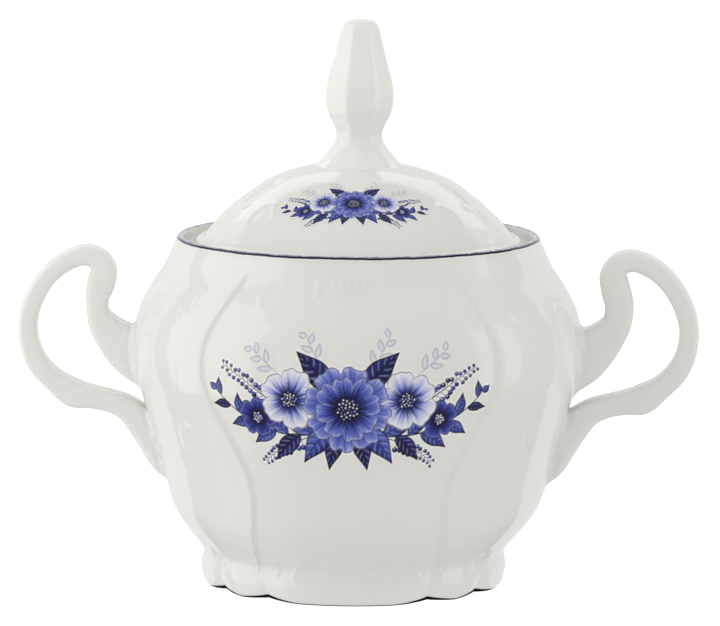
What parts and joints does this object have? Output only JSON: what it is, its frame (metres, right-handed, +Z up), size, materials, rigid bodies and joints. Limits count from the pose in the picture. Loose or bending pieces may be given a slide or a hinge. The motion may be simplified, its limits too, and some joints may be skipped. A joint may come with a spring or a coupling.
{
  "type": "sugar bowl",
  "caption": "Porcelain sugar bowl with a domed inset lid, faceted knob, ear handles and a scalloped foot, decorated with blue flowers.",
  "frame": {"origin": "on the table, at the centre of the bounding box's bottom face, under the bowl's axis", "axes": "+Z up along the bowl's axis, X through both handles, -Y towards the front with the large flower transfer"},
  "size_m": [0.1442, 0.0954, 0.12],
  "materials": {
    "bowl_porcelain": "glossy clear glaze on warm white porcelain, blue flower transfer and a blue line round the lip",
    "handle_porcelain": "glossy clear glaze on warm white porcelain",
    "lid_porcelain": "glossy clear glaze on warm white porcelain, small blue flower transfer",
    "knob_porcelain": "glossy clear glaze on warm white porcelain"
  },
  "bodies": {
    "bowl": {"bowl": "bowl_porcelain", "handle_left": "handle_porcelain", "handle_right": "handle_porcelain"},
    "lid": {"lid": "lid_porcelain", "knob": "knob_porcelain"}
  },
  "joints": [
    {"name": "lid_lift", "type": "slide", "parent": "bowl", "child": "lid", "axis": [0, 0, 1], "range_m": [0, 0.06]}
  ]
}
